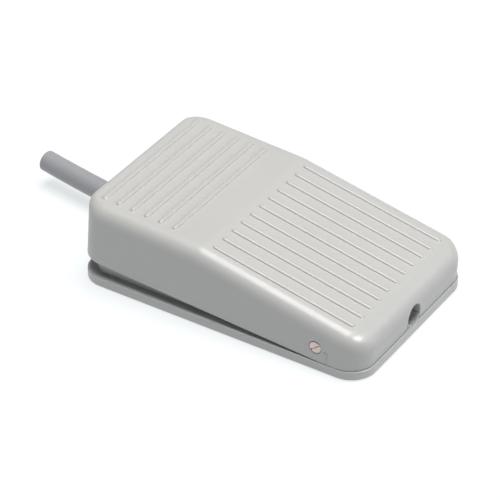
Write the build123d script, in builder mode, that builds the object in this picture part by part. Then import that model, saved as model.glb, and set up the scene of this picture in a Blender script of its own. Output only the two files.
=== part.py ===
"""Foot switch pedal: a rocker cover on two pivot pins over a base tray that holds a snap switch and its cord.

Millimetres.  +Z is up, +Y points to the tall end where the cord leaves, and -X is the left side.
The origin is on the floor under the middle of the pedal.  The cover is drawn level, as it lies when pressed,
and is then swung up about the pivot to its released place.
"""
from build123d import *
import os
from math import atan2, cos, degrees, pi, radians, sin, tan

os.makedirs("parts", exist_ok=True)

# ---- driving dimensions ------------------------------------------------------------------------------------
LENGTH = 104.0            # base tray, front to back
WIDTH = 66.0              # base tray, side to side
CORNER = 8.4              # plan corner radius of tray and cover
FOOT_PROUD = 0.4          # how far the rubber feet stand below the tray
FLOOR_TOP = 2.6           # inside floor of the tray
RIM_TOP = 3.35            # top of the rim all round the tray
RIM_PROUD = 0.25          # how far the rim stands out past the cover
LEDGE = 3.0               # shelf between the cover's outside and the upstand
UPSTAND = 2.0             # thickness of the upstand wall
UPSTAND_TALL = 10.5       # its top at the tall end
UPSTAND_LOW = 6.6         # and at the low end

PIVOT_Y = -35.7
PIVOT_Z = 8.4
PRESS_ANGLE = 3.72        # full travel of the cover, degrees
PIN_RADIUS = 2.1
PIN_RUN_CLEARANCE = 0.05  # radial, cover on pin

WALL = 2.2                # cover wall
DRAFT = 0.5               # degrees
SKIRT_Z = 3.65            # lower edge of the cover when pressed
LOW_SKIRT_Z = 3.45        # trimmed edge behind the pivot when released
TOE_Z = 24.15             # toe flat when pressed
CREASE_Y = 8.6            # line where the toe flat turns into the slope
SLOPE = 7.9               # degrees, against the toe flat
CREASE_ROUND = 10.0
TOP_ROUND = 3.6           # radius along the top edges
LOW_ROLL = 7.2            # larger radius over the low end

RIB_WIDTH = 1.7
RIB_HEIGHT = 0.6
RIB_ROUND = 0.45
CROSS_RIBS = 6
CROSS_RIB_FIRST = 46.5    # nearest the tall end
CROSS_RIB_PITCH = 5.23
CROSS_RIB_REACH = 26.05   # to the middle of the rounded end
LONG_RIBS = 11
LONG_RIB_PITCH = 5.27
LONG_RIB_START = 5.05
LONG_RIB_END = -44.15

CORD_RADIUS = 3.6
CORD_Z = 7.1
CORD_ROUTE = [(0, 33.0, CORD_Z), (0, 55.0, CORD_Z), (6.6, 92.4, 8.4)]
CORE_RADIUS = 1.1

SPRING_X = 18.0
SPRING_Y = 36.0
SPRING_RADIUS = 4.05      # to the middle of the wire
WIRE_RADIUS = 0.45
SPRING_FOOT = 4.0
SPRING_TOP = 18.5
SPRING_TURNS = 8
SPIGOT_RADIUS = 3.1       # pegs that centre a spring at both ends

STOP_X = 24.6
STOP_Y = 42.6
STOP_POST_RADIUS = 3.2
BUMPER_RADIUS = 3.0

SWITCH_Y = 12.3           # middle of the switch
SWITCH_LENGTH = 19.8
SWITCH_WIDTH = 6.4
SWITCH_TOP = 16.4
SWITCH_BOTTOM = 6.2
LEVER_HINGE_Y = 21.2
LEVER_HINGE_Z = 17.13
LEVER_THICK = 0.4
LEVER_PRESSED = 1.0       # degrees above level when the pedal is down
PLUNGER_Y = 15.6
ACTUATOR_Y = 4.6          # in the level cover
ACTUATOR_TIP_Z = 17.92    # in the level cover

OUTLET_X = -0.6           # cable arch in the low end
OUTLET_RADIUS = 3.6
OUTLET_TOP = 11.6
OUTLET_COLLAR = 6.4       # depth of the arch's collar behind the end wall
CORD_ARCH_RADIUS = 5.7
CORD_ARCH_TOP = 13.2

HALF_LENGTH = LENGTH / 2
HALF_WIDTH = WIDTH / 2
PIVOT_AXIS = Axis((0, PIVOT_Y, PIVOT_Z), (1, 0, 0))


def raised(y, z):
    """Where a point of the level cover stands when the cover is released, as (y, z)."""
    turn = radians(PRESS_ANGLE)
    across, up = y - PIVOT_Y, z - PIVOT_Z
    return PIVOT_Y + across * cos(turn) - up * sin(turn), PIVOT_Z + across * sin(turn) + up * cos(turn)


def slope_z(y):
    """Height of the sloping tread at y in the level cover."""
    return TOE_Z - (CREASE_Y - y) * tan(radians(SLOPE))


tip_y, tip_z = raised(ACTUATOR_Y, ACTUATOR_TIP_Z)
TIP_GAP = 0.2
lever_rise = tip_z - TIP_GAP - LEVER_THICK - LEVER_HINGE_Z
LEVER_REST = degrees(atan2(lever_rise, LEVER_HINGE_Y - tip_y))
LEVER_SWING = LEVER_REST - LEVER_PRESSED
plunger_reach = LEVER_HINGE_Y - PLUNGER_Y
PLUNGER_TRAVEL = plunger_reach * (tan(radians(LEVER_REST)) - tan(radians(LEVER_PRESSED)))


# ---- base tray ---------------------------------------------------------------------------------------------
CAVITY = LEDGE + UPSTAND
POST_HALF = 4.5           # half the width of a pivot post
POST_DEEP = 6.0
INSERT_RADIUS = 2.5
INSERT_LENGTH = 5.0
PIN_THREAD_RADIUS = 1.5
PIN_SHOULDER_X = HALF_WIDTH - LEDGE
FOOT_RADIUS = 5.5
FOOT_RECESS = 0.8
FOOT_X = 23.5
FOOT_Y = 41.0
CLAMP_X = 8.6
CLAMP_Y = 40.0
CLAMP_UNDER = 8.6
BOOT_NECK = 4.4
BOOT_FLANGE = 5.2
BOOT_BODY = 4.9
BRACKET_X = SWITCH_WIDTH / 2
BRACKET_THICK = 4.0
HOLE_SPACING = 9.5        # the switch's two mounting holes
HOLE_Z = SWITCH_BOTTOM + 2.9
SWITCH_SCREW_RADIUS = 1.1
STOP_POST_TOP = 17.0
RIM_ROUND = 0.25
UNDER_ROUND = 0.2
LOW_GAP_HALF = 6.2        # half the width of the low end's gap in the upstand
TONGUE_HALF = 3.3         # tongue that stands in the cover's cable arch
TONGUE_TOP = 5.5
TONGUE_LONG = 6.0
TONGUE_BACK = 0.3         # from the cover's end to the tongue
TROUGH_Z = RIM_TOP + OUTLET_RADIUS + 0.05
SEAT_PAD_RADIUS = 5.6     # pad under a spring
BRACKET_LENGTH = 16.0
BRACKET_HEIGHT = 9.6
CLAMP_POST_RADIUS = 3.0
CLAMP_HOLE_RADIUS = 1.3
SEAT_CLEARANCE = 0.05     # round the cord and its boot

with BuildPart() as base_tray:
    with BuildSketch(Plane.XY.offset(FOOT_PROUD)):
        RectangleRounded(WIDTH + 2 * RIM_PROUD, LENGTH + 2 * RIM_PROUD, CORNER + RIM_PROUD)
    extrude(amount=RIM_TOP - FOOT_PROUD)
    fillet(base_tray.faces().sort_by(Axis.Z)[-1].edges(), RIM_ROUND)
    fillet(base_tray.faces().sort_by(Axis.Z)[0].edges(), UNDER_ROUND)
    with BuildSketch(Plane.XY.offset(FLOOR_TOP)):
        RectangleRounded(WIDTH - 2 * LEDGE, LENGTH - 2 * LEDGE, CORNER - LEDGE)
    extrude(amount=UPSTAND_TALL - FLOOR_TOP)
    # the upstand's top falls towards the low end
    with BuildSketch(Plane.YZ.offset(-HALF_WIDTH)):
        with BuildLine():
            Polyline(
                (-HALF_LENGTH, UPSTAND_LOW),
                (HALF_LENGTH, UPSTAND_TALL),
                (HALF_LENGTH, 2 * UPSTAND_TALL),
                (-HALF_LENGTH, 2 * UPSTAND_TALL),
                close=True,
            )
        make_face()
    extrude(amount=WIDTH, mode=Mode.SUBTRACT)
    with BuildSketch(Plane.XY.offset(FLOOR_TOP)):
        RectangleRounded(WIDTH - 2 * CAVITY, LENGTH - 2 * CAVITY, CORNER - CAVITY)
    extrude(amount=UPSTAND_TALL, mode=Mode.SUBTRACT)
    # gap in the upstand at the low end, and in it a tongue with a trough for a second cord
    with Locations((OUTLET_X, -HALF_LENGTH + LEDGE - 0.5, RIM_TOP)):
        Box(
            2 * LOW_GAP_HALF,
            UPSTAND + 1.5,
            UPSTAND_TALL,
            align=(Align.CENTER, Align.MIN, Align.MIN),
            mode=Mode.SUBTRACT,
        )
    with Locations((OUTLET_X, -HALF_LENGTH + TONGUE_BACK, FLOOR_TOP - 0.5)):
        Box(
            2 * TONGUE_HALF,
            TONGUE_LONG,
            TONGUE_TOP - FLOOR_TOP + 0.5,
            align=(Align.CENTER, Align.MIN, Align.MIN),
        )
    with BuildSketch(Plane.XZ.offset(HALF_LENGTH)):
        with Locations((OUTLET_X, TROUGH_Z)):
            Circle(OUTLET_RADIUS)
    extrude(amount=-(TONGUE_BACK + TONGUE_LONG + 1.0), mode=Mode.SUBTRACT)
    # pivot posts
    for side in (-1, 1):
        with BuildSketch(Plane.YZ.offset(side * PIN_SHOULDER_X)):
            with Locations((PIVOT_Y, PIVOT_Z)):
                Circle(POST_HALF)
            with Locations((PIVOT_Y, (FLOOR_TOP + PIVOT_Z) / 2)):
                Rectangle(2 * POST_HALF, PIVOT_Z - FLOOR_TOP)
        extrude(amount=-side * POST_DEEP)
        with BuildSketch(Plane.YZ.offset(side * PIN_SHOULDER_X)):
            with Locations((PIVOT_Y, PIVOT_Z)):
                Circle(INSERT_RADIUS)
        extrude(amount=-side * INSERT_LENGTH, mode=Mode.SUBTRACT)
    # spring seats, each a pad with a spigot
    with BuildSketch(Plane.XY.offset(FLOOR_TOP)):
        with GridLocations(2 * SPRING_X, 1, 2, 1):
            with Locations((0, SPRING_Y)):
                Circle(SEAT_PAD_RADIUS)
    extrude(amount=SPRING_FOOT - FLOOR_TOP)
    with BuildSketch(Plane.XY.offset(SPRING_FOOT)):
        with GridLocations(2 * SPRING_X, 1, 2, 1):
            with Locations((0, SPRING_Y)):
                Circle(SPIGOT_RADIUS)
    extrude(amount=3.5)
    # posts under the rubber stops
    with BuildSketch(Plane.XY.offset(FLOOR_TOP)):
        with GridLocations(2 * STOP_X, 1, 2, 1):
            with Locations((0, STOP_Y)):
                Circle(STOP_POST_RADIUS)
    extrude(amount=STOP_POST_TOP - FLOOR_TOP)
    # bracket beside the switch
    with Locations((BRACKET_X, SWITCH_Y, FLOOR_TOP)):
        Box(BRACKET_THICK, BRACKET_LENGTH, BRACKET_HEIGHT, align=(Align.MIN, Align.CENTER, Align.MIN))
    with BuildSketch(Plane.YZ.offset(BRACKET_X)):
        with Locations((SWITCH_Y, HOLE_Z)):
            with GridLocations(HOLE_SPACING, 1, 2, 1):
                Circle(SWITCH_SCREW_RADIUS)
    extrude(amount=BRACKET_THICK, mode=Mode.SUBTRACT)
    # cord clamp posts, and the trough between them
    with BuildSketch(Plane.XY.offset(FLOOR_TOP)):
        with Locations((-CLAMP_X, CLAMP_Y), (CLAMP_X, CLAMP_Y)):
            Circle(CLAMP_POST_RADIUS)
    extrude(amount=CLAMP_UNDER - FLOOR_TOP)
    with Locations((0, CLAMP_Y, FLOOR_TOP)):
        Box(9.0, 6.0, 2.4, align=(Align.CENTER, Align.CENTER, Align.MIN))
    with BuildSketch(Plane.XY.offset(FLOOR_TOP + 1.5)):
        with Locations((-CLAMP_X, CLAMP_Y), (CLAMP_X, CLAMP_Y)):
            Circle(CLAMP_HOLE_RADIUS)
    extrude(amount=CLAMP_UNDER, mode=Mode.SUBTRACT)
    with BuildSketch(Plane.XZ.offset(-CLAMP_Y + 4.0)):
        with Locations((0, CORD_Z)):
            Circle(CORD_RADIUS + SEAT_CLEARANCE)
    extrude(amount=-8.0, mode=Mode.SUBTRACT)
    # seat of the cord's boot: flange pocket, neck slot through the upstand, and notch over the rim
    inner_face = HALF_LENGTH - CAVITY
    for y_from, y_to, radius in (
        (inner_face - 2.4, inner_face, BOOT_FLANGE),
        (inner_face, inner_face + UPSTAND, BOOT_NECK),
        (inner_face + UPSTAND, HALF_LENGTH + 1.0, BOOT_BODY),
    ):
        with BuildSketch(Plane.XZ.offset(-y_from)):
            with Locations((0, CORD_Z)):
                Circle(radius + SEAT_CLEARANCE)
            with Locations((0, CORD_Z + UPSTAND_TALL)):
                Rectangle(2 * (radius + SEAT_CLEARANCE), 2 * UPSTAND_TALL)
        extrude(amount=-(y_to - y_from), mode=Mode.SUBTRACT)
    # recesses for the feet
    with BuildSketch(Plane.XY.offset(FOOT_PROUD)):
        with GridLocations(2 * FOOT_X, 2 * FOOT_Y, 2, 2):
            Circle(FOOT_RADIUS)
    extrude(amount=FOOT_RECESS, mode=Mode.SUBTRACT)

with BuildPart() as anti_slip_feet:
    with BuildSketch(Plane.XY):
        with GridLocations(2 * FOOT_X, 2 * FOOT_Y, 2, 2):
            Circle(FOOT_RADIUS)
    extrude(amount=FOOT_PROUD + FOOT_RECESS)
    chamfer(anti_slip_feet.edges().group_by(Axis.Z)[0], 0.3)


# ---- rocker cover ------------------------------------------------------------------------------------------
OUTSIDE = 5.0             # how far cutting profiles run past the ends
BELOW_SKIRT = -5.0
ROLL_GAP = 0.02           # the low end's roll lies this much inside the block


def tread_block(inset, edge_round, roll):
    """The level cover as a solid block, drawn in by inset on every wall and on top."""
    top = TOE_Z - inset
    slope_drop = tan(radians(SLOPE))
    low_y = -HALF_LENGTH + inset + ROLL_GAP
    low_top = slope_z(low_y) - inset - ROLL_GAP
    low_lean = (low_top - BELOW_SKIRT) * tan(radians(DRAFT)) * 0.75
    low_tread_z = top - (CREASE_Y + HALF_LENGTH + OUTSIDE) * slope_drop
    with BuildPart() as block:
        with BuildSketch(Plane.XY.offset(SKIRT_Z)):
            RectangleRounded(WIDTH - 2 * inset, LENGTH - 2 * inset, CORNER - inset)
        extrude(amount=TOE_Z, taper=DRAFT)
        with BuildSketch(Plane.YZ.offset(-WIDTH)):
            with BuildLine():
                Polyline(
                    (HALF_LENGTH + OUTSIDE, top),
                    (CREASE_Y, top),
                    (-HALF_LENGTH - OUTSIDE, low_tread_z),
                    (-HALF_LENGTH - OUTSIDE, 2 * TOE_Z),
                    (HALF_LENGTH + OUTSIDE, 2 * TOE_Z),
                    close=True,
                )
            make_face()
        extrude(amount=2 * WIDTH, mode=Mode.SUBTRACT)
        crease = block.edges().filter_by(Axis.X).sort_by(lambda e: abs(e.center().Y - CREASE_Y))[0]
        fillet(crease, CREASE_ROUND)
        tread = [f for f in block.faces() if f.normal_at().Z > 0.9]
        rims = [e for f in tread for e in f.edges() if e.length > 0.5]
        rims = [e for e in rims if not (abs(e.center().X) < 0.1 and abs(e.center().Y - CREASE_Y) < 4)]
        fillet(rims, edge_round)
        # the larger roll over the low end, a hair inside the fillet so that nothing is only touched
        with BuildSketch(Plane.YZ.offset(-WIDTH)) as profile:
            with BuildLine():
                Polyline(
                    (low_y, BELOW_SKIRT),
                    (low_y + low_lean, low_top),
                    (CREASE_Y, top + 0.5),
                    (HALF_LENGTH + OUTSIDE, top + 0.5),
                    (HALF_LENGTH + OUTSIDE, BELOW_SKIRT),
                    close=True,
                )
            make_face()
            fillet(profile.vertices().sort_by(Axis.X)[1], roll)
        extrude(amount=2 * WIDTH, mode=Mode.INTERSECT)
    return block.part


WEB_X = 12.0              # two stiffening webs under the tread
WEB_HALF = 0.7
WEB_DEPTH = 3.0
WEB_LOW_Y = -42.0
WEB_TALL_Y = 44.0
BOSS_UNDER = 14.4         # lower face of a spring boss
BOSS_RADIUS = 5.4
STOP_PEG_UNDER = 19.8
ACTUATOR_BOSS_UNDER = 20.25
NUT_HEIGHT = 1.7
SCREW_RADIUS = 1.5
COLLAR_WALL = 1.6
BOSS_SPIGOT = 2.6         # how far a boss's spigot reaches into its spring
ACTUATOR_BOSS_RADIUS = 4.0
RIB_SUNK = 0.4            # the ribs start this far inside the tread
PIN_MOUTH = 2.6           # radius of the chamfer round a pin's hole
inner_low_y = -HALF_LENGTH + WALL
web_under = TOE_Z - WALL - WEB_DEPTH

# the space under the cover, with the bosses, webs and collar already left standing in it
with BuildPart() as cover_hollow:
    add(tread_block(WALL, TOP_ROUND - WALL, LOW_ROLL - WALL))
    for under, x, y, radius in (
        (BOSS_UNDER, SPRING_X, SPRING_Y, BOSS_RADIUS),
        (BOSS_UNDER, -SPRING_X, SPRING_Y, BOSS_RADIUS),
        (STOP_PEG_UNDER, STOP_X, STOP_Y, BUMPER_RADIUS),
        (STOP_PEG_UNDER, -STOP_X, STOP_Y, BUMPER_RADIUS),
        (ACTUATOR_BOSS_UNDER, 0, ACTUATOR_Y, ACTUATOR_BOSS_RADIUS),
    ):
        with BuildSketch(Plane.XY.offset(under)):
            with Locations((x, y)):
                Circle(radius)
        extrude(amount=TOE_Z, mode=Mode.SUBTRACT)
    for side in (-1, 1):
        with BuildSketch(Plane.YZ.offset(side * WEB_X - WEB_HALF)):
            with BuildLine():
                Polyline(
                    (WEB_LOW_Y, slope_z(WEB_LOW_Y) - WALL - WEB_DEPTH),
                    (CREASE_Y, web_under),
                    (WEB_TALL_Y, web_under),
                    (WEB_TALL_Y, TOE_Z),
                    (WEB_LOW_Y, TOE_Z),
                    close=True,
                )
            make_face()
        extrude(amount=2 * WEB_HALF, mode=Mode.SUBTRACT)
    with BuildSketch(Plane.XZ.offset(-inner_low_y)):
        with Locations((OUTLET_X, OUTLET_TOP - OUTLET_RADIUS)):
            Circle(OUTLET_RADIUS + COLLAR_WALL)
            Rectangle(
                2 * (OUTLET_RADIUS + COLLAR_WALL),
                OUTLET_TOP - OUTLET_RADIUS - SKIRT_Z,
                align=(Align.CENTER, Align.MAX),
            )
    extrude(amount=-(OUTLET_COLLAR - WALL), mode=Mode.SUBTRACT)

slope_plane = Plane(
    origin=(0, CREASE_Y, TOE_Z),
    x_dir=(1, 0, 0),
    z_dir=(0, -sin(radians(SLOPE)), cos(radians(SLOPE))),
)
along_slope = 1 / cos(radians(SLOPE))
long_rib_middle = ((LONG_RIB_START + LONG_RIB_END) / 2 - CREASE_Y) * along_slope
long_rib_length = (LONG_RIB_START - LONG_RIB_END) * along_slope

with BuildPart() as cover_level:
    add(tread_block(0, TOP_ROUND, LOW_ROLL))
    # raised ribs: across the toe flat, and along the slope
    with BuildSketch(Plane.XY.offset(TOE_Z - RIB_SUNK)):
        with Locations((0, CROSS_RIB_FIRST - CROSS_RIB_PITCH * (CROSS_RIBS - 1) / 2)):
            with GridLocations(1, CROSS_RIB_PITCH, 1, CROSS_RIBS):
                SlotCenterToCenter(2 * CROSS_RIB_REACH, RIB_WIDTH)
    extrude(amount=RIB_HEIGHT + RIB_SUNK)
    with BuildSketch(slope_plane.offset(-RIB_SUNK)):
        with Locations((0, long_rib_middle)):
            with GridLocations(LONG_RIB_PITCH, 1, LONG_RIBS, 1):
                SlotCenterToCenter(long_rib_length, RIB_WIDTH, rotation=90)
    extrude(amount=RIB_HEIGHT + RIB_SUNK)
    facing_up = [f for f in cover_level.faces() if f.normal_at().Z > 0.9]
    rib_tops = [f for f in facing_up if 0.6 < f.area / (RIB_WIDTH * 2 * CROSS_RIB_REACH) < 1.2]
    fillet([e for f in rib_tops for e in f.edges()], RIB_ROUND)
    add(cover_hollow.part, mode=Mode.SUBTRACT)
    # spigots that centre the springs
    for side in (-1, 1):
        with BuildSketch(Plane.XY.offset(BOSS_UNDER)):
            with Locations((side * SPRING_X, SPRING_Y)):
                Circle(SPIGOT_RADIUS)
        extrude(amount=-BOSS_SPIGOT)
    # blind hole for the actuator screw
    with BuildSketch(Plane.XY.offset(ACTUATOR_BOSS_UNDER)):
        with Locations((0, ACTUATOR_Y)):
            Circle(SCREW_RADIUS)
    extrude(amount=2.6, mode=Mode.SUBTRACT)
    # cable arches through both end walls
    for plane, x, radius, top, depth in (
        (Plane.XZ.offset(HALF_LENGTH + 1), OUTLET_X, OUTLET_RADIUS, OUTLET_TOP, -(OUTLET_COLLAR + 1.5)),
        (Plane.XZ.offset(-HALF_LENGTH - 1), 0, CORD_ARCH_RADIUS, CORD_ARCH_TOP, WALL + 2.0),
    ):
        with BuildSketch(plane):
            with Locations((x, top - radius)):
                Circle(radius)
                Rectangle(2 * radius, top, align=(Align.CENTER, Align.MAX))
        extrude(amount=depth, mode=Mode.SUBTRACT)
    # holes for the pivot pins, with a chamfered mouth
    for side in (-1, 1):
        with BuildSketch(Plane.YZ.offset(side * (HALF_WIDTH + 1))):
            with Locations((PIVOT_Y, PIVOT_Z)):
                Circle(PIN_RADIUS + PIN_RUN_CLEARANCE)
        extrude(amount=-side * 6.0, mode=Mode.SUBTRACT)
        with BuildSketch(Plane.YZ.offset(side * HALF_WIDTH)):
            with Locations((PIVOT_Y, PIVOT_Z)):
                Circle(PIN_MOUTH)
        extrude(amount=-side * 0.45, taper=45, mode=Mode.SUBTRACT)

with BuildPart() as rocker_cover:
    add(cover_level.part.rotate(PIVOT_AXIS, PRESS_ANGLE))
    # behind the pivot the skirt is trimmed level, so that it closes on the rim when released
    with Locations((0, PIVOT_Y, LOW_SKIRT_Z)):
        Box(2 * WIDTH, LENGTH, 10.0, align=(Align.CENTER, Align.CENTER, Align.MAX), mode=Mode.SUBTRACT)

with BuildPart() as actuator_level:
    with BuildSketch(Plane.XY.offset(ACTUATOR_TIP_Z)):
        with Locations((0, ACTUATOR_Y)):
            Circle(SCREW_RADIUS)
    extrude(amount=ACTUATOR_BOSS_UNDER + 2.2 - ACTUATOR_TIP_Z)
    fillet(actuator_level.edges().sort_by(Axis.Z)[0], 1.3)

with BuildPart() as actuator_screw:
    add(actuator_level.part.rotate(PIVOT_AXIS, PRESS_ANGLE))

with BuildPart() as nut_level:
    with BuildSketch(Plane.XY.offset(ACTUATOR_BOSS_UNDER)):
        with Locations((0, ACTUATOR_Y)):
            RegularPolygon(2.75, 6, major_radius=False)
            Circle(SCREW_RADIUS, mode=Mode.SUBTRACT)
    extrude(amount=-NUT_HEIGHT)

with BuildPart() as lock_nut:
    add(nut_level.part.rotate(PIVOT_AXIS, PRESS_ANGLE))


# ---- pivot pins and their inserts --------------------------------------------------------------------------
SLOT_WIDTH = 0.5
SLOT_DEEP = 0.45
PIN_FACE_X = HALF_WIDTH - 0.2


def pivot_insert(side):
    """Threaded brass sleeve in a pivot post."""
    with BuildPart() as sleeve:
        with BuildSketch(Plane.YZ.offset(side * PIN_SHOULDER_X)):
            with Locations((PIVOT_Y, PIVOT_Z)):
                Circle(INSERT_RADIUS)
                Circle(PIN_THREAD_RADIUS, mode=Mode.SUBTRACT)
        extrude(amount=-side * INSERT_LENGTH)
    return sleeve.part


def pivot_pin(side):
    """Headless pin: a plain bearing with a screwdriver slot, and a thinner threaded end."""
    with BuildPart() as pin:
        with BuildSketch(Plane.YZ.offset(side * PIN_SHOULDER_X)):
            with Locations((PIVOT_Y, PIVOT_Z)):
                Circle(PIN_RADIUS)
        extrude(amount=side * (PIN_FACE_X - PIN_SHOULDER_X))
        chamfer(pin.edges().sort_by(lambda e: abs(e.center().X))[-1], 0.2)
        with BuildSketch(Plane.YZ.offset(side * PIN_SHOULDER_X)):
            with Locations((PIVOT_Y, PIVOT_Z)):
                Circle(PIN_THREAD_RADIUS)
        extrude(amount=-side * (INSERT_LENGTH - 0.5))
        with BuildSketch(Plane.YZ.offset(side * PIN_FACE_X)):
            with Locations((PIVOT_Y, PIVOT_Z)):
                Rectangle(2 * PIN_RADIUS + 1, SLOT_WIDTH, rotation=-40)
        extrude(amount=-side * SLOT_DEEP, mode=Mode.SUBTRACT)
    return pin.part


with BuildPart() as pivot_insert_left:
    add(pivot_insert(-1))

with BuildPart() as pivot_insert_right:
    add(pivot_insert(1))

with BuildPart() as pivot_pin_left:
    add(pivot_pin(-1))

with BuildPart() as pivot_pin_right:
    add(pivot_pin(1))


# ---- return springs and stops ------------------------------------------------------------------------------
def return_spring(side):
    """Compression spring between the tray's seat and the cover's boss."""
    low = SPRING_FOOT + WIRE_RADIUS
    rise = SPRING_TOP - SPRING_FOOT - 2 * WIRE_RADIUS
    with BuildPart() as spring:
        with BuildLine():
            Helix(
                pitch=rise / SPRING_TURNS,
                height=rise,
                radius=SPRING_RADIUS,
                center=(side * SPRING_X, SPRING_Y, low),
            )
        with BuildSketch(Plane(
            origin=(side * SPRING_X + SPRING_RADIUS, SPRING_Y, low),
            x_dir=(1, 0, 0),
            z_dir=(0, 1, 0),
        )):
            Circle(WIRE_RADIUS)
        sweep(is_frenet=True)
    return spring.part


with BuildPart() as return_spring_left:
    add(return_spring(-1))

with BuildPart() as return_spring_right:
    add(return_spring(1))

with BuildPart() as stop_bumpers:
    with BuildSketch(Plane.XY.offset(STOP_POST_TOP)):
        with Locations((-STOP_X, STOP_Y), (STOP_X, STOP_Y)):
            Circle(BUMPER_RADIUS)
    extrude(amount=2.6)
    fillet(stop_bumpers.edges().group_by(Axis.Z)[-1], 0.6)


# ---- snap switch -------------------------------------------------------------------------------------------
CASE_WALL = 1.0
half_switch = SWITCH_WIDTH / 2
case_height = SWITCH_TOP - SWITCH_BOTTOM
TAB_WIDTH = 3.2
TAB_THICK = 0.5
TAB_DROP = 3.4
TAB_INSIDE = 1.4
TAB_Y = {"common": 19.4, "open": 12.3, "closed": 5.2}
PLUNGER_LONG = 3.0
PLUNGER_WIDE = 1.8
PLUNGER_CLEARANCE = 0.08
PILLAR_RADIUS = 2.0
LEVER_PIN_RADIUS = 0.4
LID_X = -half_switch + CASE_WALL
HOLE_Y = (SWITCH_Y - HOLE_SPACING / 2, SWITCH_Y + HOLE_SPACING / 2)

with BuildPart() as switch_case:
    with Locations((LID_X, SWITCH_Y, SWITCH_BOTTOM)):
        Box(
            SWITCH_WIDTH - CASE_WALL,
            SWITCH_LENGTH,
            case_height,
            align=(Align.MIN, Align.CENTER, Align.MIN),
        )
    fillet(switch_case.edges().filter_by(Axis.X), 0.5)
    with Locations((LID_X, SWITCH_Y, SWITCH_BOTTOM + CASE_WALL)):
        Box(
            SWITCH_WIDTH - 2 * CASE_WALL,
            SWITCH_LENGTH - 2 * CASE_WALL,
            case_height - 2 * CASE_WALL,
            align=(Align.MIN, Align.CENTER, Align.MIN),
            mode=Mode.SUBTRACT,
        )
    # pillars round the mounting holes
    with BuildSketch(Plane.YZ.offset(LID_X)):
        with Locations((HOLE_Y[0], HOLE_Z), (HOLE_Y[1], HOLE_Z)):
            Circle(PILLAR_RADIUS)
    extrude(amount=SWITCH_WIDTH - CASE_WALL)
    with BuildSketch(Plane.YZ.offset(LID_X)):
        with Locations((HOLE_Y[0], HOLE_Z), (HOLE_Y[1], HOLE_Z)):
            Circle(SWITCH_SCREW_RADIUS)
    extrude(amount=SWITCH_WIDTH, mode=Mode.SUBTRACT)
    # ears that hold the lever's pin, on both sides of the lever
    for ear_x in (-2.2, 1.4):
        with BuildSketch(Plane.YZ.offset(ear_x)):
            with Locations((LEVER_HINGE_Y, LEVER_HINGE_Z)):
                Circle(0.9)
            with Locations((LEVER_HINGE_Y, SWITCH_TOP - 0.5)):
                Rectangle(1.8, LEVER_HINGE_Z - SWITCH_TOP + 0.5, align=(Align.CENTER, Align.MIN))
        extrude(amount=0.8)
    with BuildSketch(Plane.YZ.offset(-half_switch)):
        with Locations((LEVER_HINGE_Y, LEVER_HINGE_Z)):
            Circle(LEVER_PIN_RADIUS)
    extrude(amount=SWITCH_WIDTH, mode=Mode.SUBTRACT)
    # slot for the plunger and slits for the terminals
    with Locations((0, PLUNGER_Y, SWITCH_TOP)):
        Box(
            PLUNGER_WIDE + 2 * PLUNGER_CLEARANCE,
            PLUNGER_LONG + 2 * PLUNGER_CLEARANCE,
            3 * CASE_WALL,
            mode=Mode.SUBTRACT,
        )
    with Locations(*[(0, y, SWITCH_BOTTOM) for y in TAB_Y.values()]):
        Box(TAB_THICK, TAB_WIDTH, 3 * CASE_WALL, mode=Mode.SUBTRACT)

with BuildPart() as switch_lid:
    with Locations((-half_switch, SWITCH_Y, SWITCH_BOTTOM)):
        Box(CASE_WALL, SWITCH_LENGTH, case_height, align=(Align.MIN, Align.CENTER, Align.MIN))
    fillet(switch_lid.edges().filter_by(Axis.X), 0.5)
    chamfer(switch_lid.faces().sort_by(Axis.X)[0].edges(), 0.2)
    with BuildSketch(Plane.YZ.offset(-half_switch)):
        with Locations((HOLE_Y[0], HOLE_Z), (HOLE_Y[1], HOLE_Z)):
            Circle(SWITCH_SCREW_RADIUS)
    extrude(amount=CASE_WALL, mode=Mode.SUBTRACT)


def terminal(y):
    """Flat tab through the bottom of the switch, with a foot inside it."""
    with BuildPart() as tab:
        with Locations((0, y, SWITCH_BOTTOM - TAB_DROP)):
            Box(TAB_THICK, TAB_WIDTH, TAB_DROP + TAB_INSIDE, align=(Align.CENTER, Align.CENTER, Align.MIN))
        fillet(tab.faces().sort_by(Axis.Z)[0].edges().filter_by(Axis.X), 0.8)
    return tab.part


with BuildPart() as terminal_common:
    add(terminal(TAB_Y["common"]))

with BuildPart() as terminal_open:
    add(terminal(TAB_Y["open"]))

with BuildPart() as terminal_closed:
    add(terminal(TAB_Y["closed"]))

# contact blade: a springy strip from the common end to between the two contacts
BLADE_Z = SWITCH_BOTTOM + 6.4
with BuildPart() as snap_blade:
    with BuildSketch(Plane.YZ.offset(-1.0)):
        with BuildLine():
            Polyline(
                (SWITCH_Y + 8.2, BLADE_Z - 0.6),
                (SWITCH_Y + 5.0, BLADE_Z - 0.6),
                (SWITCH_Y + 3.4, BLADE_Z + 0.3),
                (SWITCH_Y - 8.0, BLADE_Z + 0.3),
            )
            offset(amount=0.1, side=Side.BOTH)
        make_face()
    extrude(amount=2.0)

with BuildPart() as switch_plunger:
    plunger_top = LEVER_HINGE_Z + plunger_reach * tan(radians(LEVER_REST)) - 0.15
    with Locations((0, PLUNGER_Y, BLADE_Z + 1.6)):
        Box(
            PLUNGER_WIDE,
            PLUNGER_LONG,
            plunger_top - BLADE_Z - 1.6,
            align=(Align.CENTER, Align.CENTER, Align.MIN),
        )
    fillet(switch_plunger.faces().sort_by(Axis.Z)[-1].edges().filter_by(Axis.X), 0.7)

lever_plane = Plane(
    origin=(0, LEVER_HINGE_Y, LEVER_HINGE_Z),
    x_dir=(1, 0, 0),
    z_dir=(0, sin(radians(LEVER_REST)), cos(radians(LEVER_REST))),
)
LEVER_WIDTH = 2.6
LEVER_REACH = 20.0
EYE_RADIUS = 0.68

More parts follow.
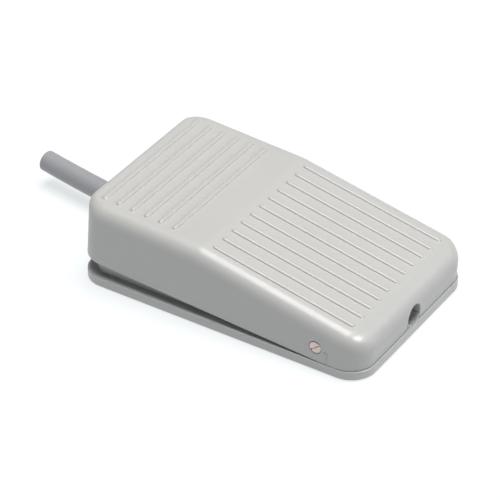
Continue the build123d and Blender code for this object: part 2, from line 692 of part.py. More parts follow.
with BuildPart() as switch_lever:
    with BuildSketch(lever_plane):
        with Locations((0, -LEVER_REACH / 2)):
            RectangleRounded(LEVER_WIDTH, LEVER_REACH, 0.9)
    extrude(amount=LEVER_THICK)
    with BuildSketch(Plane.YZ.offset(-LEVER_WIDTH / 2)):
        with Locations((LEVER_HINGE_Y, LEVER_HINGE_Z)):
            Circle(EYE_RADIUS)
    extrude(amount=LEVER_WIDTH)
    with BuildSketch(Plane.YZ.offset(-LEVER_WIDTH)):
        with Locations((LEVER_HINGE_Y, LEVER_HINGE_Z)):
            Circle(LEVER_PIN_RADIUS + 0.05)
    extrude(amount=2 * LEVER_WIDTH, mode=Mode.SUBTRACT)

with BuildPart() as lever_pin:
    with BuildSketch(Plane.YZ.offset(-2.4)):
        with Locations((LEVER_HINGE_Y, LEVER_HINGE_Z)):
            Circle(LEVER_PIN_RADIUS)
    extrude(amount=4.8)

with BuildPart() as switch_screws:
    with BuildSketch(Plane.YZ.offset(-half_switch)):
        with Locations((HOLE_Y[0], HOLE_Z), (HOLE_Y[1], HOLE_Z)):
            Circle(SWITCH_SCREW_RADIUS)
    extrude(amount=SWITCH_WIDTH + BRACKET_THICK - 0.4)
    with BuildSketch(Plane.YZ.offset(-half_switch)):
        with Locations((HOLE_Y[0], HOLE_Z), (HOLE_Y[1], HOLE_Z)):
            Circle(2.0)
    extrude(amount=-1.3)
    fillet(switch_screws.edges().group_by(Axis.X)[0], 0.5)
    with BuildSketch(Plane.YZ.offset(-half_switch - 1.3)):
        with Locations((HOLE_Y[0], HOLE_Z), (HOLE_Y[1], HOLE_Z)):
            Rectangle(2.2, 0.5)
            Rectangle(0.5, 2.2)
    extrude(amount=0.7, mode=Mode.SUBTRACT)


# ---- cord, boot, clamp and cores ---------------------------------------------------------------------------
def widest_radii(route):
    """Radius of the arc at each inner point: 0.45 of the shorter run, over the tangent of half the turn."""
    points = [Vector(*p) for p in route]
    radii = []
    for before, corner, after in zip(points, points[1:], points[2:]):
        run_in, run_out = corner - before, after - corner
        half_turn = radians(run_in.get_angle(run_out)) / 2
        radii.append(0.45 * min(run_in.length, run_out.length) / tan(half_turn))
    return radii


cord_radii = widest_radii(CORD_ROUTE)
print("cord arc radii, mm:", [round(r, 1) for r in cord_radii])

with BuildPart() as supply_cord:
    with BuildLine() as cord_line:
        FilletPolyline(*CORD_ROUTE, radius=cord_radii[0])
    with BuildSketch(Plane(origin=CORD_ROUTE[0], x_dir=(1, 0, 0), z_dir=(0, 1, 0))):
        Circle(CORD_RADIUS)
    sweep()

cord_length = sum(edge.length for edge in cord_line.edges())
cord_filling = supply_cord.part.volume / (pi * CORD_RADIUS**2 * cord_length)
print("cord length, mm:", round(cord_length, 2))
print("cord volume over section times length:", round(cord_filling, 4))

BOOT_END_Y = 63.0
BOOT_TIP = 4.15
BOOT_BEND_Y = 55.0
bend = Vector(*CORD_ROUTE[2]) - Vector(*CORD_ROUTE[1])
boot_tip_plane = Plane(origin=CORD_ROUTE[1], z_dir=bend, x_dir=(1, 0, 0))
upstand_out_y = inner_face + UPSTAND
with BuildPart() as cord_boot:
    for y_from, y_to, radius in (
        (inner_face - 2.2, inner_face, BOOT_FLANGE),
        (inner_face, upstand_out_y, BOOT_NECK),
        (upstand_out_y, BOOT_BEND_Y, BOOT_BODY),
    ):
        with BuildSketch(Plane.XZ.offset(-y_from)):
            with Locations((0, CORD_Z)):
                Circle(radius)
        extrude(amount=-(y_to - y_from))
    with BuildSketch(boot_tip_plane.offset(-0.8)):
        Circle(BOOT_BODY - 0.1)
    with BuildSketch(boot_tip_plane.offset(BOOT_END_Y - BOOT_BEND_Y)):
        Circle(BOOT_TIP)
    loft()
    add(supply_cord.part, mode=Mode.SUBTRACT)

CLAMP_THICK = 3.2
SCREW_HEAD = 1.8
with BuildPart() as cord_clamp:
    with BuildSketch(Plane.XY.offset(CLAMP_UNDER)):
        with Locations((0, CLAMP_Y)):
            SlotOverall(23.0, 6.0)
    extrude(amount=CLAMP_THICK)
    fillet(cord_clamp.edges().group_by(Axis.Z)[-1], 0.5)
    with BuildSketch(Plane.XZ.offset(-CLAMP_Y + 4.0)):
        with Locations((0, CORD_Z)):
            Circle(CORD_RADIUS + SEAT_CLEARANCE)
    extrude(amount=-8.0, mode=Mode.SUBTRACT)
    with BuildSketch(Plane.XY.offset(CLAMP_UNDER)):
        with Locations((-CLAMP_X, CLAMP_Y), (CLAMP_X, CLAMP_Y)):
            Circle(CLAMP_HOLE_RADIUS + 0.1)
    extrude(amount=4.0, mode=Mode.SUBTRACT)

CLAMP_TOP = CLAMP_UNDER + CLAMP_THICK
with BuildPart() as clamp_screws:
    with BuildSketch(Plane.XY.offset(CLAMP_TOP)):
        with Locations((-CLAMP_X, CLAMP_Y), (CLAMP_X, CLAMP_Y)):
            Circle(2 * CLAMP_HOLE_RADIUS)
    extrude(amount=SCREW_HEAD)
    fillet(clamp_screws.edges().group_by(Axis.Z)[-1], 0.7)
    with BuildSketch(Plane.XY.offset(CLAMP_TOP)):
        with Locations((-CLAMP_X, CLAMP_Y), (CLAMP_X, CLAMP_Y)):
            Circle(CLAMP_HOLE_RADIUS)
    extrude(amount=-7.0)
    with BuildSketch(Plane.XY.offset(CLAMP_TOP + SCREW_HEAD)):
        with Locations((-CLAMP_X, CLAMP_Y), (CLAMP_X, CLAMP_Y)):
            Rectangle(3.0, 0.6)
            Rectangle(0.6, 3.0)
    extrude(amount=-1.0, mode=Mode.SUBTRACT)

CORE_Z = 4.5
CORE_RADII = [3.0, 3.0, 2.2]
SHEATH_END_Y = CORD_ROUTE[0][1]
TAB_FACE_X = -TAB_THICK / 2
CORE_ROUTES = {
    "common": [
        (1.5, SHEATH_END_Y, 6.2),
        (1.5, 29.6, 6.2),
        (-4.6, 23.4, CORE_Z),
        (-4.6, TAB_Y["common"], CORE_Z),
    ],
    "open": [
        (0, SHEATH_END_Y, 8.85),
        (0, 30.6, 8.85),
        (-7.4, 23.2, 6.8),
        (-7.4, TAB_Y["open"], CORE_Z),
    ],
    "closed": [
        (-1.5, SHEATH_END_Y, 6.2),
        (-1.5, 31.5, 6.2),
        (-10.2, 22.8, CORE_Z),
        (-10.2, TAB_Y["closed"], CORE_Z),
    ],
}


def core(name):
    """One insulated core, from the stripped end of the sheath to its tab."""
    route = CORE_ROUTES[name] + [(TAB_FACE_X, TAB_Y[name], CORE_Z)]
    with BuildPart() as wire:
        with BuildLine():
            FilletPolyline(*route, radius=CORE_RADII)
        with BuildSketch(Plane(origin=route[0], x_dir=(1, 0, 0), z_dir=(0, 1, 0))):
            Circle(CORE_RADIUS)
        sweep()
    return wire.part


with BuildPart() as core_common:
    add(core("common"))

with BuildPart() as core_open:
    add(core("open"))

with BuildPart() as core_closed:
    add(core("closed"))

with BuildPart() as wire_sleeves:
    with BuildSketch(Plane.YZ.offset(-TAB_THICK / 2 - 0.3)):
        with Locations(*[(y, CORE_Z) for y in TAB_Y.values()]):
            Circle(CORE_RADIUS + 0.4)
            Circle(CORE_RADIUS, mode=Mode.SUBTRACT)
    extrude(amount=-1.8)

print("lever at rest, degrees:", round(LEVER_REST, 3), " swing:", round(LEVER_SWING, 3))
print("lever turns per pedal turn:", round(LEVER_SWING / PRESS_ANGLE, 4))
print("plunger travel, mm:", round(PLUNGER_TRAVEL, 4))
print("plunger travel per radian, mm:", round(PLUNGER_TRAVEL / radians(PRESS_ANGLE), 4))


# ---- one STEP file for each piece --------------------------------------------------------------------------
base_tray.part.label = "base_tray"
export_step(base_tray.part, "parts/base_tray.step")
anti_slip_feet.part.label = "anti_slip_feet"
export_step(anti_slip_feet.part, "parts/anti_slip_feet.step")
rocker_cover.part.label = "rocker_cover"
export_step(rocker_cover.part, "parts/rocker_cover.step")
actuator_screw.part.label = "actuator_screw"
export_step(actuator_screw.part, "parts/actuator_screw.step")
lock_nut.part.label = "lock_nut"
export_step(lock_nut.part, "parts/lock_nut.step")
pivot_insert_left.part.label = "pivot_insert_left"
export_step(pivot_insert_left.part, "parts/pivot_insert_left.step")
pivot_insert_right.part.label = "pivot_insert_right"
export_step(pivot_insert_right.part, "parts/pivot_insert_right.step")
pivot_pin_left.part.label = "pivot_pin_left"
export_step(pivot_pin_left.part, "parts/pivot_pin_left.step")
pivot_pin_right.part.label = "pivot_pin_right"
export_step(pivot_pin_right.part, "parts/pivot_pin_right.step")
return_spring_left.part.label = "return_spring_left"
export_step(return_spring_left.part, "parts/return_spring_left.step")
return_spring_right.part.label = "return_spring_right"
export_step(return_spring_right.part, "parts/return_spring_right.step")
stop_bumpers.part.label = "stop_bumpers"
export_step(stop_bumpers.part, "parts/stop_bumpers.step")
switch_case.part.label = "switch_case"
export_step(switch_case.part, "parts/switch_case.step")
switch_lid.part.label = "switch_lid"
export_step(switch_lid.part, "parts/switch_lid.step")
terminal_common.part.label = "terminal_common"
export_step(terminal_common.part, "parts/terminal_common.step")
terminal_open.part.label = "terminal_open"
export_step(terminal_open.part, "parts/terminal_open.step")
terminal_closed.part.label = "terminal_closed"
export_step(terminal_closed.part, "parts/terminal_closed.step")
snap_blade.part.label = "snap_blade"
export_step(snap_blade.part, "parts/snap_blade.step")
switch_plunger.part.label = "switch_plunger"
export_step(switch_plunger.part, "parts/switch_plunger.step")
switch_lever.part.label = "switch_lever"
export_step(switch_lever.part, "parts/switch_lever.step")
lever_pin.part.label = "lever_pin"
export_step(lever_pin.part, "parts/lever_pin.step")
switch_screws.part.label = "switch_screws"
export_step(switch_screws.part, "parts/switch_screws.step")
supply_cord.part.label = "supply_cord"
export_step(supply_cord.part, "parts/supply_cord.step")
cord_boot.part.label = "cord_boot"
export_step(cord_boot.part, "parts/cord_boot.step")
cord_clamp.part.label = "cord_clamp"
export_step(cord_clamp.part, "parts/cord_clamp.step")
clamp_screws.part.label = "clamp_screws"
export_step(clamp_screws.part, "parts/clamp_screws.step")
core_common.part.label = "core_common"
export_step(core_common.part, "parts/core_common.step")
core_open.part.label = "core_open"
export_step(core_open.part, "parts/core_open.step")
core_closed.part.label = "core_closed"
export_step(core_closed.part, "parts/core_closed.step")
wire_sleeves.part.label = "wire_sleeves"
export_step(wire_sleeves.part, "parts/wire_sleeves.step")
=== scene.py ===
import math

import bmesh
import bpy
import numpy as np
from mathutils import Matrix, Vector


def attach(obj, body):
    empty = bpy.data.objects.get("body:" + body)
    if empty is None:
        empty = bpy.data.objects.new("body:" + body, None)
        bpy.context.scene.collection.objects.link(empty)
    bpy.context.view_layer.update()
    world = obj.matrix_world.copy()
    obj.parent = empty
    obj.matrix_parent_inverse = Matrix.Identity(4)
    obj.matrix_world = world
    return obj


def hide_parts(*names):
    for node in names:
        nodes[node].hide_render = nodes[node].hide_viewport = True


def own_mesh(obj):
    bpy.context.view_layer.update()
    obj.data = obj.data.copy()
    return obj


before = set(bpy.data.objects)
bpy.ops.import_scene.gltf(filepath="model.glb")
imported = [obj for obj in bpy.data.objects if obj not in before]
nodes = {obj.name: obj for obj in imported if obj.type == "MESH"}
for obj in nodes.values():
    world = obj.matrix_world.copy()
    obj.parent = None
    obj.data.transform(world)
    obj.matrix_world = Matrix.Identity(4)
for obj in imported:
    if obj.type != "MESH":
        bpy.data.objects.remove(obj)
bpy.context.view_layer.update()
scene = bpy.context.scene

# Shapes are worked out in millimetres and scaled to metres when a piece is finished.
MM = 0.001

# ---- dimensions shared with the CAD model --------------------------------------------------------
LENGTH, WIDTH, CORNER = 104.0, 66.0, 8.4
HALF_LENGTH, HALF_WIDTH = LENGTH / 2, WIDTH / 2
ARC_X, ARC_Y = HALF_WIDTH - CORNER, HALF_LENGTH - CORNER  # middle of a plan corner
PIVOT_Y, PIVOT_Z, PRESS_ANGLE = -35.7, 8.4, 3.72
WALL, DRAFT, SKIRT_Z, LOW_SKIRT_Z = 2.2, 0.5, 3.65, 3.45
TOE_Z, CREASE_Y, SLOPE, CREASE_ROUND = 24.15, 8.6, 7.9, 10.0
CROSS_RIBS = [46.5 - 5.23 * k for k in range(6)]
CROSS_REACH = 26.05
LONG_RIBS = [5.27 * k for k in range(-5, 6)]
LONG_START, LONG_END = 5.05, -44.15
STIFFENER_X, STIFFENER_HALF, STIFFENER_DEEP = 11.7, 0.6, 3.0
CORD_RADIUS, CORD_Z = 3.6, 7.1
CORD_ROUTE = [(0, 33.0, CORD_Z), (0, 55.0, CORD_Z), (6.6, 92.4, 8.4)]
SPRING_X, SPRING_Y, SPRING_RADIUS, WIRE_RADIUS = 18.0, 36.0, 4.05, 0.45
SPRING_FOOT, SPRING_TOP = 4.0, 18.5
STOP_X, STOP_Y = 24.6, 42.6
SCREW_Y, SCREW_BORE = 4.6, 1.25
OUTLET_X, OUTLET_RADIUS, OUTLET_TOP = -0.6, 3.6, 11.6
CORD_ARCH_RADIUS, CORD_ARCH_TOP = 5.7, 13.2

TURN = math.radians(PRESS_ANGLE)
LEAN = math.tan(math.radians(DRAFT))

# ---- edges of the cover as the photo shows them, finer than in the CAD model ---------------------
TOP_ROUND, LOW_ROLL, TALL_ROUND, SKIRT_ROUND = 4.8, 7.2, 2.1, 0.16
MOUTH_ROUND = 0.35
MOULD_LINE_PROUD, MOULD_LINE_ROOT = 0.14, 0.3


# ---- mesh helpers --------------------------------------------------------------------------------
def new_object(name, verts, faces):
    """A mesh object with its faces turned outwards."""
    mesh = bpy.data.meshes.new(name)
    mesh.from_pydata([tuple(float(c) for c in v) for v in verts], [], faces)
    obj = bpy.data.objects.new(name, mesh)
    scene.collection.objects.link(obj)
    bm = bmesh.new()
    bm.from_mesh(mesh)
    bmesh.ops.recalc_face_normals(bm, faces=bm.faces)
    bm.to_mesh(mesh)
    bm.free()
    return obj


def angles(count):
    """Directions evenly round a circle."""
    return [2 * math.pi * k / count for k in range(count)]


def across(ahead):
    """The level and the upward direction square to a way ahead."""
    level = ahead.cross(Vector((0, 0, 1))).normalized()
    return level, level.cross(ahead)


def loft(sections):
    """Closed solid through closed loops of the same count: (points, faces)."""
    count = len(sections[0])
    verts = [p for section in sections for p in section]
    faces = []
    for k in range(len(sections) - 1):
        for i in range(count):
            j = (i + 1) % count
            faces.append((k * count + i, k * count + j, (k + 1) * count + j, (k + 1) * count + i))
    faces.append(tuple(reversed(range(count))))
    faces.append(tuple(range((len(sections) - 1) * count, len(sections) * count)))
    return verts, faces


def lathe(profile, centre, axis="z", steps=64):
    """Closed solid of revolution through (along, radius) pairs; a radius of 0 is a little flat."""
    sections = []
    for along, radius in profile:
        ring = []
        for a in angles(steps):
            u, v = max(radius, 0.001) * math.cos(a), max(radius, 0.001) * math.sin(a)
            if axis == "x":
                ring.append((centre[0] + along, centre[1] + u, centre[2] + v))
            elif axis == "y":
                ring.append((centre[0] + u, centre[1] + along, centre[2] + v))
            else:
                ring.append((centre[0] + u, centre[1] + v, centre[2] + along))
        sections.append(ring)
    return loft(sections)


def prism(outline, low, high, plane="xy"):
    """Closed solid on an outline: plane names the outline's two axes, and low and high lie on the third."""
    def place(u, v, w):
        return {"xy": (u, v, w), "xz": (u, w, v), "yz": (w, u, v)}[plane]

    return loft([[place(u, v, low) for u, v in outline], [place(u, v, high) for u, v in outline]])


def joined(parts):
    """Several (points, faces) lists as one."""
    verts, faces = [], []
    for v, f in parts:
        base = len(verts)
        verts += list(v)
        faces += [tuple(base + i for i in face) for face in f]
    return verts, faces


def boolean(obj, parts, operation):
    """Adds or cuts one set of closed solids that don't touch each other."""
    tool = new_object("tool", *joined(parts))
    modifier = obj.modifiers.new("cut", "BOOLEAN")
    modifier.operation = operation
    modifier.solver = "EXACT"
    modifier.object = tool
    bpy.context.view_layer.update()
    done = obj.evaluated_get(bpy.context.evaluated_depsgraph_get())
    mesh = bpy.data.meshes.new_from_object(done)
    obj.modifiers.clear()
    old, obj.data = obj.data, mesh
    bpy.data.meshes.remove(old)
    bpy.data.objects.remove(tool)


def swing_up(obj):
    """Turns a piece drawn on the level cover to where the released cover is."""
    middle = Matrix.Translation((0, PIVOT_Y, PIVOT_Z))
    obj.data.transform(middle @ Matrix.Rotation(TURN, 4, "X") @ middle.inverted())


def finish_mesh(obj, sharp=35.0):
    """To metres, smooth, with edges kept sharp past an angle."""
    obj.data.transform(Matrix.Scale(MM, 4))
    for polygon in obj.data.polygons:
        polygon.use_smooth = True
    obj.data.set_sharp_from_angle(angle=math.radians(sharp))
    obj.data.update()
    return obj


# ---- materials -----------------------------------------------------------------------------------
def shader(name, color, roughness, **sockets):
    """A material with its constants set on the shader: (material, tree, shader)."""
    material = bpy.data.materials.new(name)
    material.use_nodes = True
    tree = material.node_tree
    bsdf = tree.nodes["Principled BSDF"]
    bsdf.inputs["Base Color"].default_value = (*color, 1.0)
    bsdf.inputs["Roughness"].default_value = roughness
    for socket, value in sockets.items():
        bsdf.inputs[socket.replace("_", " ")].default_value = value
    return material, tree, bsdf


def noise(tree, scale, detail=3.0, stretch=None):
    """A noise field in the object's own metres."""
    coords = tree.nodes.new("ShaderNodeTexCoord")
    texture = tree.nodes.new("ShaderNodeTexNoise")
    texture.inputs["Scale"].default_value = scale
    texture.inputs["Detail"].default_value = detail
    source = coords.outputs["Object"]
    if stretch:
        mapping = tree.nodes.new("ShaderNodeMapping")
        mapping.inputs["Scale"].default_value = stretch
        tree.links.new(source, mapping.inputs["Vector"])
        source = mapping.outputs["Vector"]
    tree.links.new(source, texture.inputs["Vector"])
    return texture.outputs["Fac"]


def ramp(tree, value, low, high, a, b):
    """value from low to high, turned into colour a to colour b."""
    node = tree.nodes.new("ShaderNodeValToRGB")
    node.color_ramp.elements[0].position = low
    node.color_ramp.elements[0].color = (*a, 1.0)
    node.color_ramp.elements[1].position = high
    node.color_ramp.elements[1].color = (*b, 1.0)
    tree.links.new(value, node.inputs["Fac"])
    return node.outputs["Color"]


def spread(tree, value, low, high):
    """The middle part of a noise field's values, turned into a number from low to high."""
    node = tree.nodes.new("ShaderNodeMapRange")
    node.inputs["From Min"].default_value, node.inputs["From Max"].default_value = 0.3, 0.7
    node.inputs["To Min"].default_value = low
    node.inputs["To Max"].default_value = high
    tree.links.new(value, node.inputs["Value"])
    return node.outputs["Result"]


def bump(tree, bsdf, heights):
    """Bump in metres from (field, height) pairs, laid one on another."""
    normal = None
    for field, height in heights:
        node = tree.nodes.new("ShaderNodeBump")
        node.inputs["Strength"].default_value = 1.0
        node.inputs["Distance"].default_value = height
        tree.links.new(field, node.inputs["Height"])
        if normal is not None:
            tree.links.new(normal, node.inputs["Normal"])
        normal = node.outputs["Normal"]
    tree.links.new(normal, bsdf.inputs["Normal"])


def tinted(color, factor):
    return tuple(c * factor for c in color)


def moulded(name, color, roughness, mottling=0.012, grain=0.000012, **sockets):
    """Moulded plastic: faint flow mottling, fine spark-eroded grain, uneven gloss."""
    material, tree, bsdf = shader(name, color, roughness, **sockets)
    flow = noise(tree, 34.0, 4.0)
    tree.links.new(
        ramp(tree, flow, 0.3, 0.7, tinted(color, 1 - mottling), tinted(color, 1 + mottling)),
        bsdf.inputs["Base Color"],
    )
    tree.links.new(
        spread(tree, noise(tree, 160.0, 4.0), roughness - 0.02, roughness + 0.03),
        bsdf.inputs["Roughness"],
    )
    bump(tree, bsdf, [(noise(tree, 3800.0, 2.0), grain), (noise(tree, 900.0, 2.0), grain * 0.5)])
    return material


def grained_tread(material, height=0.000022):
    """Adds a coarser grain to a moulded material, on its upward faces only."""
    tree = material.node_tree
    bsdf = tree.nodes["Principled BSDF"]
    coords = tree.nodes.new("ShaderNodeTexCoord")
    parts = tree.nodes.new("ShaderNodeSeparateXYZ")
    tree.links.new(coords.outputs["Normal"], parts.inputs["Vector"])
    upward = tree.nodes.new("ShaderNodeMapRange")
    upward.inputs["From Min"].default_value, upward.inputs["From Max"].default_value = 0.9, 0.985
    tree.links.new(parts.outputs["Z"], upward.inputs["Value"])
    masked = tree.nodes.new("ShaderNodeMath")
    masked.operation = "MULTIPLY"
    tree.links.new(upward.outputs["Result"], masked.inputs[0])
    tree.links.new(noise(tree, 1500.0, 1.0), masked.inputs[1])
    node = tree.nodes.new("ShaderNodeBump")
    node.inputs["Distance"].default_value = height
    tree.links.new(masked.outputs["Value"], node.inputs["Height"])
    tree.links.new(bsdf.inputs["Normal"].links[0].from_socket, node.inputs["Normal"])
    tree.links.new(node.outputs["Normal"], bsdf.inputs["Normal"])
    return material


def rubber(name, color):
    """Matt rubber with a dusty bloom."""
    material, tree, bsdf = shader(name, color, 0.78)
    tree.links.new(
        ramp(tree, noise(tree, 120.0, 5.0), 0.35, 0.75, color, tinted(color, 1.35)),
        bsdf.inputs["Base Color"],
    )
    tree.links.new(
        spread(tree, noise(tree, 400.0, 3.0), 0.7, 0.88), bsdf.inputs["Roughness"]
    )
    bump(tree, bsdf, [(noise(tree, 2200.0, 3.0), 0.00002)])
    return material


def metal(name, color, roughness, stretch=None, scratch=0.000004):
    """Metal with fine marks along one direction and patches of duller plating."""
    material, tree, bsdf = shader(name, color, roughness, Metallic=1.0)
    tree.links.new(
        ramp(tree, noise(tree, 260.0, 4.0), 0.3, 0.75, tinted(color, 0.86), color),
        bsdf.inputs["Base Color"],
    )
    marks = noise(tree, 900.0, 4.0, stretch or (1.0, 1.0, 1.0))
    tree.links.new(
        spread(tree, marks, roughness - 0.07, roughness + 0.1), bsdf.inputs["Roughness"]
    )
    bump(tree, bsdf, [(marks, scratch)])
    return material


cover_plastic = grained_tread(moulded("cover_plastic", (0.42, 0.418, 0.41), 0.35))
base_plastic = moulded("base_plastic", (0.44, 0.44, 0.438), 0.36)
foot_rubber = rubber("foot_rubber", (0.035, 0.035, 0.036))
boot_rubber = rubber("boot_rubber", (0.20, 0.20, 0.205))
cord_jacket = moulded("cord_jacket", (0.29, 0.292, 0.308), 0.36, 0.04, 0.000008)
nickel = metal("nickel", (0.62, 0.52, 0.49), 0.42, (1.0, 0.2, 1.0))
zinc_steel = metal("zinc_steel", (0.66, 0.68, 0.70), 0.32)
spring_steel = metal("spring_steel", (0.52, 0.53, 0.55), 0.28, (0.3, 0.3, 1.0))
brass = metal("brass", (0.72, 0.50, 0.21), 0.3, (1.0, 0.15, 0.15))
tinned_brass = metal("tinned_brass", (0.74, 0.68, 0.54), 0.36, (1.0, 0.2, 1.0))
copper = metal("copper", (0.80, 0.42, 0.26), 0.3)
switch_plastic = moulded("switch_plastic", (0.030, 0.031, 0.033), 0.42, 0.10)
plunger_plastic = moulded("plunger_plastic", (0.42, 0.035, 0.022), 0.3, 0.05, 0.000005)
core_brown = moulded("core_brown", (0.115, 0.042, 0.020), 0.3, 0.06, 0.000005)
core_blue = moulded("core_blue", (0.016, 0.075, 0.30), 0.3, 0.06, 0.000005)
core_black = moulded("core_black", (0.016, 0.016, 0.017), 0.32, 0.06, 0.000005)
sleeve_plastic = moulded("sleeve_plastic", (0.028, 0.028, 0.031), 0.5, 0.08)


def clothe(obj, material):
    obj.data.materials.clear()
    obj.data.materials.append(material)


# ---- camera, floor and light ---------------------------------------------------------------------
camera = bpy.data.objects.new("camera", bpy.data.cameras.new("camera"))
scene.collection.objects.link(camera)
scene.camera = camera
AZIMUTH, ELEVATION, DISTANCE = math.radians(-57.51), math.radians(35.39), 0.8479
LOOKED_AT = Vector((-0.00754, 0.00362, 0.01432))
back = Vector((
    math.sin(AZIMUTH) * math.cos(ELEVATION),
    -math.cos(AZIMUTH) * math.cos(ELEVATION),
    math.sin(ELEVATION),
))
camera.location = LOOKED_AT + back * DISTANCE
camera.rotation_mode = "QUATERNION"
camera.rotation_quaternion = (-back).to_track_quat("-Z", "Y")
camera.data.sensor_width = 36.0
camera.data.lens = 195.05
camera.data.clip_start = 0.01
camera.data.clip_end = 30.0
camera.data.dof.use_dof = False

FLOOR_REACH = 3.0
floor = new_object(
    "floor",
    [(x * FLOOR_REACH, y * FLOOR_REACH, 0.0) for x, y in ((-1, -1), (1, -1), (1, 1), (-1, 1))],
    [(0, 1, 2, 3)],
)
# partly self-lit, to be as white as the photo's cut-out background and still take a faint shadow
floor_paint, *_ = shader(
    "floor_paint", (0.24, 0.255, 0.26), 0.9,
    Specular_IOR_Level=0.0, Emission_Color=(0.97, 0.99, 1.0, 1.0), Emission_Strength=0.7,
)
clothe(floor, floor_paint)


def softbox(name, place, target, size, power, color=(1.0, 1.0, 1.0)):
    """A rectangular area light that faces a point."""
    light = bpy.data.lights.new(name, "AREA")
    light.shape = "RECTANGLE"
    light.size, light.size_y = size
    light.energy = power
    light.color = color
    obj = bpy.data.objects.new(name, light)
    scene.collection.objects.link(obj)
    obj.location = place
    obj.rotation_mode = "QUATERNION"
    obj.rotation_quaternion = (Vector(target) - Vector(place)).to_track_quat("-Z", "Y")
    return obj


softbox("overhead", (0.01, -0.07, 1.2), (0.01, -0.07, 0), (0.84, 0.6), 20.4, (1.0, 0.992, 0.975))
softbox("front", (0.75, -1.2, 0.7), (0, 0, 0.01), (1.2, 1.0), 7.4)
# makes the bright spot on the cover's low corner, and lights nothing else
glint = softbox("corner", (0.04, -0.86, 0.86), (0, 0, 0.02), (0.4, 0.32), 15.0)
glint.visible_diffuse = False

world = bpy.data.worlds.new("room")
scene.world = world
world.use_nodes = True
world.node_tree.nodes["Background"].inputs["Color"].default_value = (0.95, 0.97, 1.0, 1.0)
world.node_tree.nodes["Background"].inputs["Strength"].default_value = 0.15
scene.view_settings.view_transform = "Standard"
scene.view_settings.look = "None"


# ---- supply cord ---------------------------------------------------------------------------------
def route_curve(name, route, radius):
    """A round cord on one smooth spline whose control points are the route's."""
    curve = bpy.data.curves.new(name, "CURVE")
    curve.dimensions = "3D"
    spline = curve.splines.new("NURBS")
    spline.points.add(len(route) - 1)
    for point, place in zip(spline.points, route):
        point.co = (*(c * MM for c in place), 1.0)
    spline.order_u = 3
    spline.use_endpoint_u = True
    spline.resolution_u = 32
    curve.bevel_depth = radius * MM
    curve.bevel_resolution = 12
    curve.use_fill_caps = True
    obj = bpy.data.objects.new(name, curve)
    scene.collection.objects.link(obj)
    return obj


def spline_points(obj):
    """Points along a curve's line, in millimetres."""
    curve = obj.data
    depth, caps = curve.bevel_depth, curve.use_fill_caps
    curve.bevel_depth, curve.use_fill_caps = 0.0, False
    bpy.context.view_layer.update()
    line = bpy.data.meshes.new_from_object(obj.evaluated_get(bpy.context.evaluated_depsgraph_get()))
    points = np.array([v.co[:] for v in line.vertices]) / MM
    bpy.data.meshes.remove(line)
    curve.bevel_depth, curve.use_fill_caps = depth, caps
    return points


cord = route_curve("supply_cord_lead", CORD_ROUTE, CORD_RADIUS)
clothe(cord, cord_jacket)
cord_line = spline_points(cord)
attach(cord, "base")
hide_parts("supply_cord")


# ---- rocker cover --------------------------------------------------------------------------------
def tread_z(y):
    """Height of the level tread at y, with its crease rounded."""
    y = np.asarray(y, float)
    turn = math.radians(SLOPE)
    arc_y = CREASE_Y + CREASE_ROUND * math.tan(turn / 2)
    low = TOE_Z - (CREASE_Y - y) * math.tan(turn)
    arc = TOE_Z - CREASE_ROUND + np.sqrt(np.maximum(CREASE_ROUND**2 - (y - arc_y) ** 2, 0))
    return np.where(y >= arc_y, TOE_Z, np.where(y <= arc_y - CREASE_ROUND * math.sin(turn), low, arc))


def tread_slope(y):
    return (tread_z(np.asarray(y) + 0.01) - tread_z(np.asarray(y) - 0.01)) / 0.02


def skirt_z(y):
    """Lower edge of the level cover: level, but trimmed behind the pivot to close on the rim at rest."""
    trimmed = PIVOT_Z + (LOW_SKIRT_Z - PIVOT_Z - (y - PIVOT_Y) * math.sin(TURN)) / math.cos(TURN)
    return np.maximum(SKIRT_Z, trimmed)


# How a rib's height falls off from its middle line, in millimetres.
RIB_REACH = [0.0, 0.16, 0.34, 0.50, 0.62, 0.72, 0.79, 0.84, 0.89, 0.96, 1.06]
RIB_RISE = [0.60, 0.597, 0.58, 0.54, 0.475, 0.385, 0.28, 0.17, 0.075, 0.02, 0.0]


def rib_height(x, y):
    """Height of the raised ribs over the tread at a point of the plan."""
    nearest = np.full(np.shape(x), 9.0)
    for rib_y in CROSS_RIBS:
        over = np.maximum(np.abs(x) - CROSS_REACH, 0)
        nearest = np.minimum(nearest, np.hypot(over, y - rib_y))
    for rib_x in LONG_RIBS:
        over = np.maximum(np.maximum(y - LONG_START, LONG_END - y), 0)
        nearest = np.minimum(nearest, np.hypot(x - rib_x, over))
    return np.interp(nearest, RIB_REACH, RIB_RISE)


def lines(centres, low, high, extra, widest):
    """Grid lines from low to high: dense over each rib's flanks, no further apart than widest."""
    found = {low, high, *extra}
    for c in centres:
        for d in RIB_REACH:
            found |= {c - d, c + d}
    kept = []
    for value in sorted(v for v in found if low <= v <= high):
        if kept and value - kept[-1] < 0.03:
            continue
        if kept and value - kept[-1] > widest:
            gaps = math.ceil((value - kept[-1]) / widest)
            kept += list(np.linspace(kept[-1], value, gaps + 1)[1:-1])
        kept.append(value)
    return np.array(kept)


def edge_profile(py, ny, roll, inset):
    """The rounded edge on the section along the wall's normal, from the wall's foot at py.

    Gives the height where the wall ends, the arc's centre as (run inwards, height), and the tread's rise.
    """
    lean = math.radians(DRAFT)
    run = np.zeros(np.shape(py))
    for _ in range(4):  # the leaning wall meets the sloping tread after a few rounds
        z = tread_z(py - ny * run) - inset
        run = (z - SKIRT_Z) * LEAN
    rise = np.arctan(-tread_slope(py - ny * run) * ny)
    tangent = roll * np.tan((math.pi / 2 - lean - rise) / 2)
    wall_run, wall_z = run - tangent * math.sin(lean), z - tangent * math.cos(lean)
    centre_run, centre_z = wall_run + roll * math.cos(lean), wall_z - roll * math.sin(lean)
    return wall_z, centre_run, centre_z, rise


